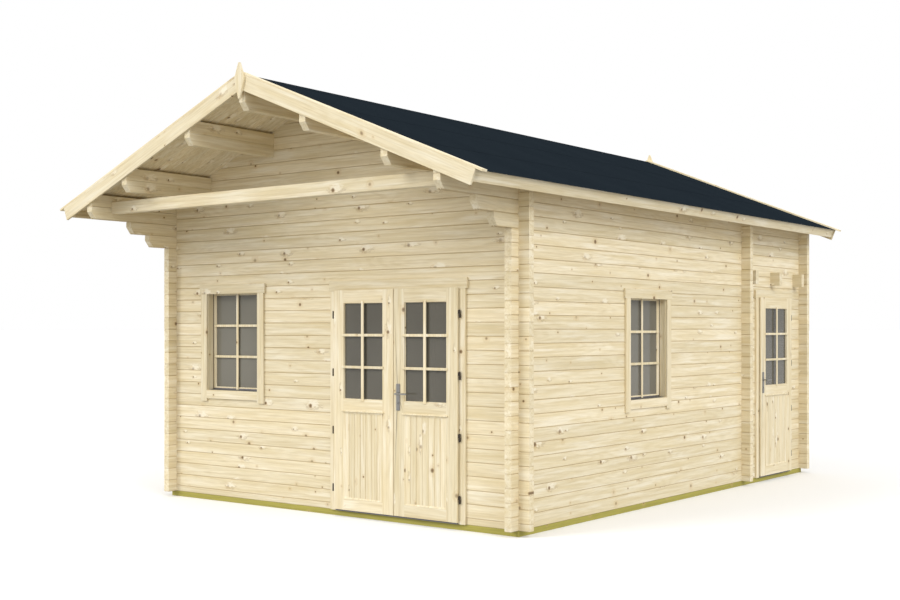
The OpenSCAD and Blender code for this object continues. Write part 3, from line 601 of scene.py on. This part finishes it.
def in_cross_bearer(c):
    return abs(c.x) < HALF_W - BEARER_W + FACE_SLACK


def in_level_casing(off_middle, height, hole_z):
    """True in a window's head and sill casings, which lie over or between the legs."""
    head_z = hole_z + HOLE_H - LOG_GAP - CASING_HEAD_LAP
    return height > head_z or abs(off_middle) < HOLE_HALF - CASING_SIDE_LAP - FACE_SLACK


def on_front(c):
    return c.y < FRONT_Y + WINDOW_FRAME_DEPTH / 2


def in_front_level_casing(c):
    return on_front(c) and in_level_casing(c.x - FRONT_WINDOW_X, c.z, FRONT_HOLE_Z)


def in_side_level_casing(c):
    return not on_front(c) and in_level_casing(c.y - SIDE_WINDOW_Y, c.z, SIDE_HOLE_Z)


for part in ("casing", "frame"):
    level_grain("double_door_" + part, board_x, in_door_head)
    level_grain("side_door_" + part, board_y, in_door_head)
level_grain("foundation_bearers", treated_x, in_cross_bearer)
level_grain("window_casings", board_x, in_front_level_casing)
level_grain("window_casings", board_y, in_side_level_casing)


def flat_faces():
    """A node group that gives each face its own flat normal."""
    group = bpy.data.node_groups.new("flat_faces", "GeometryNodeTree")
    group.interface.new_socket("Geometry", in_out="INPUT", socket_type="NodeSocketGeometry")
    group.interface.new_socket("Geometry", in_out="OUTPUT", socket_type="NodeSocketGeometry")
    normals = group.nodes.new("GeometryNodeSetMeshNormal")
    normals.inputs["Face Sharpness"].default_value = True
    group.links.new(group.nodes.new("NodeGroupInput").outputs[0], normals.inputs["Mesh"])
    group.links.new(normals.outputs[0], group.nodes.new("NodeGroupOutput").inputs[0])
    return group


# Corners are joined first, so that each log counts as one piece, and then sawn boards get eased edges
WELD_REACH = 0.00005
EASED_ANGLE = math.radians(50)
SHARP_EDGES = LOOKS[log_x] + LOOKS[log_y] + LOOKS[beam_y]
EASED_EDGES = {
    0.0030: ["loft_joists"],
    0.0020: ["window_casings", "double_door_casing", "side_door_casing", "finials", "front_bargeboards",
             "rear_bargeboards", "left_leaf", "right_leaf", "side_leaf", "tie_beam", "window_sashes",
             "foundation_bearers"],
    0.0015: ["cover_strips", "eave_fascias", "window_frames", "double_door_handle_plates",
             "side_door_handle_plates"],
    0.0010: ["double_door_frame", "side_door_frame"],
    0.0008: ["double_door_threshold", "side_door_threshold"],
    0.0005: ["left_leaf_glass", "right_leaf_glass", "side_leaf_glass", "window_glass"],
}
flat = flat_faces()
for width, names in {0.0: SHARP_EDGES, **EASED_EDGES}.items():
    for name in names:
        modifiers = NODES[name].modifiers
        modifiers.new("joined_corners", "WELD").merge_threshold = WELD_REACH
        if width:
            bevel = modifiers.new("eased_edges", "BEVEL")
            bevel.width = width
            bevel.segments = 2
            bevel.limit_method = "ANGLE"
            bevel.angle_limit = EASED_ANGLE
        modifiers.new("flat_faces", "NODES").node_group = flat


# Glazing: bars that lie on both faces of a leaf or sash, and beads round the pane

# Gap between an added piece and the face or pane that it lies on
FACE_GAP = 0.0003
BAR_RISE = 0.009
BAR_BEVEL = 0.003
LEVEL_BAR_W = 0.024
BEAD_W = 0.004
# Share of a bead's depth at its inner edge
BEAD_STEP = 0.3
# Width of the upright bar, how far bar ends lap the frame, and depth of the beads, in leaves and sashes
LEAF_BAR_W, LEAF_BAR_LAP, LEAF_BEAD_DEPTH = 0.029, 0.016, 0.012
SASH_BAR_W, SASH_BAR_LAP, SASH_BEAD_DEPTH = 0.028, 0.020, 0.008


def glazing_bars(name, place, a, z, upright_w, end_lap, back, body):
    """One upright and two level bars on both faces of an opening, with their ends on its frame."""
    piece = Piece()
    middle = (a[0] + a[1]) / 2
    left, right = middle - upright_w / 2, middle + upright_w / 2
    for d in ((-BAR_RISE, -FACE_GAP), (back + BAR_RISE, back + FACE_GAP)):
        piece.block(place, (left, right), d, (z[0] - end_lap, z[1] + end_lap), BAR_BEVEL)
        for i in (1, 2):
            level = z[0] + i * (z[1] - z[0]) / 3
            span = (level - LEVEL_BAR_W / 2, level + LEVEL_BAR_W / 2)
            piece.block(place, (a[0] - end_lap, left), d, span, BAR_BEVEL)
            piece.block(place, (right, a[1] + end_lap), d, span, BAR_BEVEL)
    piece.finish(name, board_z, body)


def glass_beads(name, place, a, z, thickness, depth, body):
    """Sloping beads on both sides of a pane in the middle of a leaf or sash of that thickness."""
    piece = Piece()
    front = (thickness - GLASS_T) / 2 - FACE_GAP
    back = (thickness + GLASS_T) / 2 + FACE_GAP
    for edge, run in ((front, -depth), (back, depth)):
        profile = ((SEAT, edge), (BEAD_W, edge), (BEAD_W, edge + BEAD_STEP * run), (SEAT, edge + run))
        piece.rectangle_ring(place, a, z, profile)
    piece.finish(name, board_z, body)


# Door panels: boards on both faces of the thin panel, with mouldings round them

PANEL_BOARD_W = 0.064
PANEL_JOINT_HALF = 0.0004
PANEL_BEVEL = 0.0045
PANEL_END_GAP = 0.001
# Depths of the boards' face and back behind the leaf's face, then the moulding's foot and rise
PANEL_FACE = 0.0028
PANEL_BACK = 0.0079
MOULDING_FOOT = 0.0026
MOULDING_RISE = 0.0046
MOULDING_W = 0.013
MOULDING_SHOULDER = 0.011
# Share of the rise at the moulding's shoulder
MOULDING_STEP = 0.4
# Drip bar over the panel: depth and height above the panel, and how far it reaches past its sides
DRIP_BAR = ((-0.0004, 0.001), (-0.0110, 0.001), (-0.0120, 0.005), (-0.0060, 0.013), (-0.0004, 0.016))
DRIP_BAR_REACH = 0.016


def door_panel(name, place, a, body):
    """Upright boards with bevelled joints on both faces of the panel."""
    piece = Piece()
    count = round((a[1] - a[0]) / PANEL_BOARD_W)
    width = (a[1] - a[0]) / count
    z = (PANEL_Z + PANEL_END_GAP, PANEL_TOP - PANEL_END_GAP)
    for i in range(count):
        span = (a[0] + i * width + PANEL_JOINT_HALF, a[0] + (i + 1) * width - PANEL_JOINT_HALF)
        piece.block(place, span, (PANEL_FACE, PANEL_BACK), z, PANEL_BEVEL)
        piece.block(place, span, (LEAF_T - PANEL_FACE, LEAF_T - PANEL_BACK), z, PANEL_BEVEL)
    piece.finish(name, panel_z, body)


def panel_mouldings(name, place, a, body):
    """A sloping moulding round the panel on both faces, and a drip bar over it on the outer one."""
    piece = Piece()
    for foot, rise in ((MOULDING_FOOT, -MOULDING_RISE), (LEAF_T - MOULDING_FOOT, MOULDING_RISE)):
        shoulder = (MOULDING_SHOULDER, foot + MOULDING_STEP * rise)
        profile = ((0.0, foot), (MOULDING_W, foot), shoulder, (0.0, foot + rise))
        piece.rectangle_ring(place, a, (PANEL_Z, PANEL_TOP), profile)
    ends = (a[0] - DRIP_BAR_REACH, a[1] + DRIP_BAR_REACH)
    piece.bar(place, ends, [(d, PANEL_TOP + rise) for d, rise in DRIP_BAR])
    piece.finish(name, board_z, body)


FRONT_LEAF = front_place(LEAF_FACE)
SIDE_LEAF = side_place(LEAF_FACE)
LEAVES = (("left", FRONT_LEAF, LEFT_OPENING, "left_door"),
          ("right", FRONT_LEAF, RIGHT_OPENING, "right_door"),
          ("side", SIDE_LEAF, SIDE_OPENING, "side_door"))
for name, place, opening, body in LEAVES:
    height = (GLASS_Z, GLASS_TOP)
    glazing_bars(name + "_leaf_bars", place, opening, height, LEAF_BAR_W, LEAF_BAR_LAP, LEAF_T, body)
    glass_beads(name + "_leaf_beads", place, opening, height, LEAF_T, LEAF_BEAD_DEPTH, body)
    door_panel(name + "_leaf_panel", place, opening, body)
    panel_mouldings(name + "_leaf_mouldings", place, opening, body)


# Windows: bars, beads, a metal drip sill in front of the sash and a dark seal strip round it, painted as
# the shade in the gap

# Drip sill: depth behind the wall's face and height above the frame's foot
DRIP_SILL = ((0.0636, 0.026), (0.0621, 0.026), (0.0621, 0.0155), (0.006, 0.0080),
             (0.006, 0.0005), (0.0075, 0.0005), (0.0075, 0.0066), (0.0636, 0.0138))
DRIP_SILL_END_GAP = 0.0005
# Seal strip, dark brown as painted shade of the gap: inset from the frame's inner edge and depth behind the
# sash's face
GAP_SHADE_SEAL = ((0.0002, -0.0003), (0.0060, -0.0003), (0.0045, -0.0040), (0.0002, -0.0040))


def drip_sill(name, place, middle, foot):
    """A bent metal sheet that leads water from the sash to the front of the frame."""
    piece = Piece()
    half = FRAME_HALF - DRIP_SILL_END_GAP
    piece.bar(place, (middle - half, middle + half), [(d, foot + rise) for d, rise in DRIP_SILL])
    piece.finish(name, sill_metal, "cabin")


def sash_gap_shade_seal(name, sash_place, middle, foot):
    """A seal strip in the corner between the sash and the frame, coloured dark brown as painted shade of
    the gap there.
    """
    piece = Piece()
    width = (middle - FRAME_HALF, middle + FRAME_HALF)
    piece.rectangle_ring(sash_place, width, (foot, foot + FRAME_INNER_H), GAP_SHADE_SEAL)
    piece.finish(name, gap_shade_seal, "cabin")


for name, wall_place, middle, hole_z in (("front", front_place, FRONT_WINDOW_X, FRONT_HOLE_Z),
                                         ("side", side_place, SIDE_WINDOW_Y, SIDE_HOLE_Z)):
    sash_place = wall_place(SASH_FACE)
    foot = hole_z + FRAME_EDGE
    opening = (middle - FRAME_HALF + SASH_EDGE, middle + FRAME_HALF - SASH_EDGE)
    height = (foot + SASH_EDGE, foot + FRAME_INNER_H - SASH_EDGE)
    bars, beads = name + "_window_bars", name + "_window_beads"
    glazing_bars(bars, sash_place, opening, height, SASH_BAR_W, SASH_BAR_LAP, SASH_T, "cabin")
    glass_beads(beads, sash_place, opening, height, SASH_T, SASH_BEAD_DEPTH, "cabin")
    drip_sill(name + "_window_drip_sill", wall_place(0.0), middle, foot)
    sash_gap_shade_seal(name + "_window_seal", sash_place, middle, foot)


# Thresholds: ribs along the front strip

STRIP_T = 0.007
STRIP_TOP = BEARER_H + STRIP_T
STRIP_OUT = 0.030
RIBS = 4
RIB_STEP = 0.0068
RIB_INSET = 0.0025
RIB_END_GAP = 0.0003
# Section of a rib: depth from its front edge and height above the strip
RIB = ((0.0, -0.0002), (0.0032, -0.0002), (0.0026, 0.0014), (0.0006, 0.0014))


def threshold_ribs(door, place, axis):
    """Ribs from end to end of the strip, the first one just behind its front edge."""
    low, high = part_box(door + "_threshold")
    ends = (low[axis] + RIB_END_GAP, high[axis] - RIB_END_GAP)
    piece = Piece()
    for i in range(RIBS):
        front = RIB_INSET - STRIP_OUT + i * RIB_STEP
        piece.bar(place, ends, [(front + d, STRIP_TOP + rise) for d, rise in RIB])
    piece.finish(door + "_threshold_ribs", sill_metal, "cabin")


threshold_ribs("double_door", front_place(0.0), 0)
threshold_ribs("side_door", side_place(0.0), 1)


# Handles: collars round the spindle, lock cylinders with a keyhole drawn as a near-black block of painted
# shade, and screws

PLATE_T = 0.006
PLATE_FACE = SEAT + PLATE_T
# How far the lock is below the plate's middle, and the screws are above and below it
LOCK_DROP = 0.052
SCREW_OFF = 0.100
KEYHOLE_HALF_W = 0.0011
KEYHOLE_BELOW, KEYHOLE_ABOVE = 0.006, 0.004
KEYHOLE_RISE = (0.0046, 0.0039)
KEYHOLE_BEVEL = 0.0003
# Turned profiles: radius and distance out from the plate
COLLAR = ((0.0128, 0.0), (0.0128, 0.005), (0.0105, 0.0075), (0.0062, 0.0075), (0.0062, 0.0))
LOCK = ((0.0092, 0.0), (0.0092, 0.0028), (0.0082, 0.0038), (0.0, 0.0038))
SCREW = ((0.0045, 0.0), (0.0045, 0.0010), (0.0030, 0.0022), (0.0, 0.0024))


def handle_trim(door, place, axis, lever, body):
    """The small parts on both handle plates of a door."""
    a, lever_z = JOINT_AT[lever][axis], JOINT_AT[lever][2]
    low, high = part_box(door + "_handle_plates")
    plate_z = (low.z + high.z) / 2
    lock_z = plate_z - LOCK_DROP
    key_height = (lock_z - KEYHOLE_BELOW, lock_z + KEYHOLE_ABOVE)
    trim = Piece()
    keys = Piece()
    for face, out in ((-PLATE_FACE, -1), (LEAF_T + PLATE_FACE, 1)):
        trim.turned(place, a, lever_z, COLLAR, face, out, closed=True)
        trim.turned(place, a, lock_z, LOCK, face, out)
        for z in (plate_z + SCREW_OFF, plate_z - SCREW_OFF):
            trim.turned(place, a, z, SCREW, face, out, steps=14)
        depth = [face + out * rise for rise in KEYHOLE_RISE]
        # Each keyhole is a near-black block on the cylinder's face, painted as the shade in the slot
        keys.block(place, (a - KEYHOLE_HALF_W, a + KEYHOLE_HALF_W), depth, key_height, KEYHOLE_BEVEL)
    trim.finish(door + "_handle_trim", handle_metal, body, smooth=True)
    keys.finish(door + "_keyholes", keyhole_shade, body)


handle_trim("double_door", FRONT_LEAF, 0, "front_lever_turn", "right_door")
handle_trim("side_door", SIDE_LEAF, 1, "side_lever_turn", "side_door")


# Hinges: turned caps on the barrels

HINGES = 4
FIRST_HINGE = 0.190
HINGE_STEP = 0.512
# Ends of the upper and lower barrels, from the joint between them
UPPER_END, LOWER_END = 0.0302, -0.0301
HINGE_CAP = ((0.0071, -0.0030), (0.0071, 0.0008), (0.0055, 0.0030), (0.0026, 0.0044), (0.0, 0.0048))


def hinge_caps(name, half, end, out, door, body):
    """Caps on the upper or lower halves of one leaf's hinges."""
    x, y, _ = JOINT_AT[door + "_swing"]
    piece = Piece()

    def upright_place(a, d, b):
        return Vector((a, b, d))

    for i in range(HINGES):
        joint_z = LEAF_LOW.z + FIRST_HINGE + i * HINGE_STEP
        piece.turned(upright_place, x, y, HINGE_CAP, joint_z + end, out, steps=18)
    piece.finish(name + "_hinge_caps_" + half, hinge_metal, body, smooth=True)


for name, _, _, door in LEAVES:
    hinge_caps(name, "upper", UPPER_END, 1, door, door)
    hinge_caps(name, "lower", LOWER_END, -1, door, "cabin")


# Roof boards, each with its own bevelled joints, in place of the plain slabs

ROOF_BOARDS = 80
ROOF_BOARD_BEVEL = 0.003
# Half of the gaps between boards, and between the two slopes at the ridge
BOARD_GAP_HALF = 0.0002
RIDGE_GAP_HALF = 0.0002


def roof_boards(name, side):
    place = roof_place(side)
    width = (ROOF_REAR - ROOF_FRONT) / ROOF_BOARDS
    piece = Piece()
    for i in range(ROOF_BOARDS):
        y0 = ROOF_FRONT + i * width + BOARD_GAP_HALF
        y1 = ROOF_FRONT + (i + 1) * width - BOARD_GAP_HALF
        section = ((y0, ROOF_BOARD_BEVEL), (y0 + ROOF_BOARD_BEVEL, 0.0), (y1 - ROOF_BOARD_BEVEL, 0.0),
                   (y1, ROOF_BOARD_BEVEL), (y1, BOARD_T), (y0, BOARD_T))
        piece.loft([[place(down_slope_at(RIDGE_GAP_HALF, n), y, n) for y, n in section],
                    [place(BOARDS_END, y, n) for y, n in section]])
    obj = piece.finish("roof_boards_tongued_" + name, board_down, "cabin")
    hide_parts("roof_boards_" + name)


# Roofing in three lapped sheets on each slope, with a ridge strip over both

SHEET_T = 0.0013
SHEET_GAP = 0.0002
SHEET_FEET = (0.86, 1.74, ROOFING_END)
SHEET_LAP = 0.09
# Where a sheet starts and ends its step up on to the next one, from that one's upper edge
STEP_START, STEP_END = -0.004, 0.002
RIDGE_STRIP_HALF = 0.14
RIDGE_STRIP_SETBACK = 0.044


def roofing_sheets(name, side):
    place = roof_place(side)
    piece = Piece()
    top = down_slope_at(RIDGE_GAP_HALF, ROOFING_LOW)
    lifted = ROOFING_LOW + SHEET_T + SHEET_GAP
    for foot in SHEET_FEET:
        path = [(top, ROOFING_LOW), (foot, ROOFING_LOW)]
        if foot < ROOFING_END:
            path = [(top, ROOFING_LOW), (foot + STEP_START, ROOFING_LOW), (foot + STEP_END, lifted),
                    (foot + SHEET_LAP, lifted)]
        section = path + [(s, n + SHEET_T) for s, n in reversed(path)]
        piece.loft([[place(s, y, n) for s, n in section] for y in (ROOF_FRONT, ROOF_REAR)])
        top = foot
    obj = piece.finish("roofing_sheets_" + name, roofing, "cabin")
    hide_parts("roofing_" + name)


def ridge_strip():
    """A bent strip of roofing over the ridge, between the cover strips."""
    right, left = roof_place(1), roof_place(-1)
    low = ROOFING_LOW + SHEET_T + SHEET_GAP
    high = low + SHEET_T
    rings = []
    for y in (ROOF_FRONT + RIDGE_STRIP_SETBACK, ROOF_REAR - RIDGE_STRIP_SETBACK):
        under = [left(RIDGE_STRIP_HALF, y, low), left(down_slope_at(0.0, low), y, low),
                 right(RIDGE_STRIP_HALF, y, low)]
        over = [right(RIDGE_STRIP_HALF, y, high), left(down_slope_at(0.0, high), y, high),
                left(RIDGE_STRIP_HALF, y, high)]
        rings.append(under + over)
    piece = Piece()
    piece.loft(rings)
    piece.finish("roofing_ridge_strip", roofing, "cabin")


SLOPES = (("right", 1), ("left", -1))
for name, side in SLOPES:
    roof_boards(name, side)
for name, side in SLOPES:
    roofing_sheets(name, side)
ridge_strip()


# Floor boards along the cabin, each with eased edges, in place of the plain slabs

FLOOR_BOARDS = 45
FLOOR_BEVEL = 0.0015


def floor_boards():
    low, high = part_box("floor_boards")
    partition_front, partition_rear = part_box("partition_wall")
    rooms = ((low.y, partition_front.y - FLOOR_GAP), (partition_rear.y + FLOOR_GAP, high.y))
    width = (high.x - low.x) / FLOOR_BOARDS
    shoulder = high.z - FLOOR_BEVEL
    piece = Piece()
    for ends in rooms:
        for i in range(FLOOR_BOARDS):
            x0 = low.x + i * width + BOARD_GAP_HALF
            x1 = low.x + (i + 1) * width - BOARD_GAP_HALF
            section = ((x0, low.z), (x1, low.z), (x1, shoulder), (x1 - FLOOR_BEVEL, high.z),
                       (x0 + FLOOR_BEVEL, high.z), (x0, shoulder))
            piece.loft([[Vector((x, y, z)) for x, z in section] for y in ends])
    obj = piece.finish("floor_boards_tongued", board_y, "cabin")
    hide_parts("floor_boards")


floor_boards()


# Stage: pale floor, soft light and the photograph's camera

FLOOR_REACH = 1500.0
CAMERA_AT = (7.79375, -10.7984, 1.6614)
CAMERA_TURN = math.radians(37.54)
CAMERA_LENS = 50.40
CAMERA_SENSOR = 36
CAMERA_SHIFT = 0.0324
scene = bpy.context.scene


def pale_floor():
    mesh = bpy.data.meshes.new("stage_floor")
    corners = [(x * FLOOR_REACH, y * FLOOR_REACH, 0.0) for x, y in ((-1, -1), (1, -1), (1, 1), (-1, 1))]
    mesh.from_pydata(corners, [], [(0, 1, 2, 3)])
    stage_floor = bpy.data.objects.new("stage_floor", mesh)
    scene.collection.objects.link(stage_floor)
    paint = Shader("stage_pale")
    paint.surface({"Base Color": (0.90, 0.90, 0.90), "Roughness": 0.9})
    mesh.materials.append(paint.material)
    stage_floor.visible_diffuse = False


def sun(name, direction, strength, softness):
    """A sun that shines from a direction, with an angle of softness in degrees."""
    data = bpy.data.lights.new(name, "SUN")
    data.energy = strength
    data.angle = math.radians(softness)
    lamp = bpy.data.objects.new(name, data)
    scene.collection.objects.link(lamp)
    lamp.rotation_euler = Vector(direction).to_track_quat("Z", "Y").to_euler()


def studio_world():
    """White light all round, half as strong from below."""
    world = bpy.data.worlds.new("studio")
    world.use_nodes = True
    tree = world.node_tree
    sky = tree.nodes["Background"]
    way = tree.nodes.new("ShaderNodeTexCoord")
    rise = tree.nodes.new("ShaderNodeSeparateXYZ")
    dome = tree.nodes.new("ShaderNodeMapRange")
    for name, number in (("From Min", -0.30), ("From Max", -0.05), ("To Min", 0.50), ("To Max", 1.0)):
        dome.inputs[name].default_value = number
    tree.links.new(way.outputs["Generated"], rise.inputs[0])
    tree.links.new(rise.outputs["Z"], dome.inputs["Value"])
    tree.links.new(dome.outputs["Result"], sky.inputs["Strength"])
    sky.inputs["Color"].default_value = (1.0, 1.0, 1.0, 1.0)
    scene.world = world


def photo_camera():
    data = bpy.data.cameras.new("camera")
    data.lens = CAMERA_LENS
    data.sensor_width = CAMERA_SENSOR
    data.shift_y = CAMERA_SHIFT
    camera = bpy.data.objects.new("camera", data)
    camera.location = CAMERA_AT
    camera.rotation_euler = (math.radians(90), 0, CAMERA_TURN)
    scene.collection.objects.link(camera)
    scene.camera = camera


pale_floor()
sun("key_front", (-0.55, -1.0, 0.72), 1.46, 30)
sun("key_side", (1.0, -0.25, 0.66), 1.27, 34)
studio_world()
scene.view_settings.view_transform = "Standard"
photo_camera()

bpy.context.view_layer.update()
